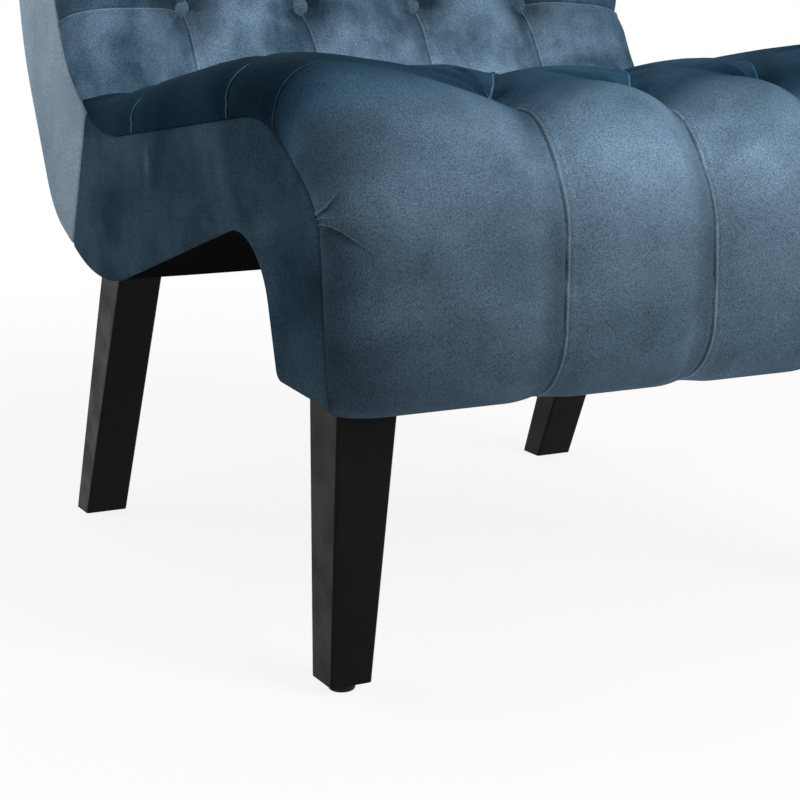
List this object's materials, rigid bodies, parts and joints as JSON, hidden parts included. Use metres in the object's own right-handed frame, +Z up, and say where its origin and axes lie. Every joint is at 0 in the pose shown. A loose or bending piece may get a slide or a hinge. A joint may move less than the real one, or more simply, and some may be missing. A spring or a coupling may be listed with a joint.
{
  "type": "accent chair",
  "caption": "Armless accent chair with a diamond-tufted velvet seat and back, a channelled front roll, arched sides, tapered black legs and levelling glides.",
  "frame": {"origin": "on the floor under the middle of the bounding box", "axes": "+Z up, -Y to the front of the seat, +X to the left of a person sitting in it"},
  "size_m": [0.598, 0.79, 0.847],
  "materials": {
    "pad_velvet": "slate-blue velvet",
    "side_velvet": "slate-blue velvet, nap laid dark",
    "dust_cloth": "black non-woven cloth",
    "black_wood": "black satin paint",
    "plywood": "raw",
    "hardboard": "raw",
    "felt": "pressed felt",
    "webbing": "woven elastic",
    "spring_steel": "bare",
    "zinc_steel": "zinc plated",
    "nylon": "matt",
    "black_plastic": "matt"
  },
  "bodies": {
    "chair": {"seat_pad": "pad_velvet", "back_pad": "pad_velvet", "back_buttons": "pad_velvet", "left_side_cover": "side_velvet", "right_side_cover": "side_velvet", "outside_back_cover": "side_velvet", "dust_cover": "dust_cloth", "left_front_leg": "black_wood", "right_front_leg": "black_wood", "left_rear_leg": "black_wood", "right_rear_leg": "black_wood", "left_side_frame": "plywood", "right_side_frame": "plywood", "front_rail": "plywood", "seat_front_rail": "plywood", "seat_rear_rail": "plywood", "heel_rail": "plywood", "loin_rail": "plywood", "top_rail": "plywood", "back_panel": "hardboard", "front_board": "hardboard", "felt": "felt", "back_straps": "webbing", "seat_springs": "spring_steel", "leg_bolts": "zinc_steel", "leg_washers": "zinc_steel", "leg_tnuts": "zinc_steel", "left_frame_screws": "zinc_steel", "right_frame_screws": "zinc_steel", "left_glide_insert": "zinc_steel", "right_glide_insert": "zinc_steel", "spring_clips": "nylon", "seat_ties": "nylon"},
    "left_glide_foot": {"left_glide": "black_plastic"},
    "right_glide_foot": {"right_glide": "black_plastic"}
  },
  "joints": [
    {"name": "left_glide_screw", "type": "slide", "parent": "chair", "child": "left_glide_foot", "axis": [0, 0, -1], "range_m": [0, 0.01]},
    {"name": "right_glide_screw", "type": "slide", "parent": "chair", "child": "right_glide_foot", "axis": [0, 0, -1], "range_m": [0, 0.01]}
  ]
}
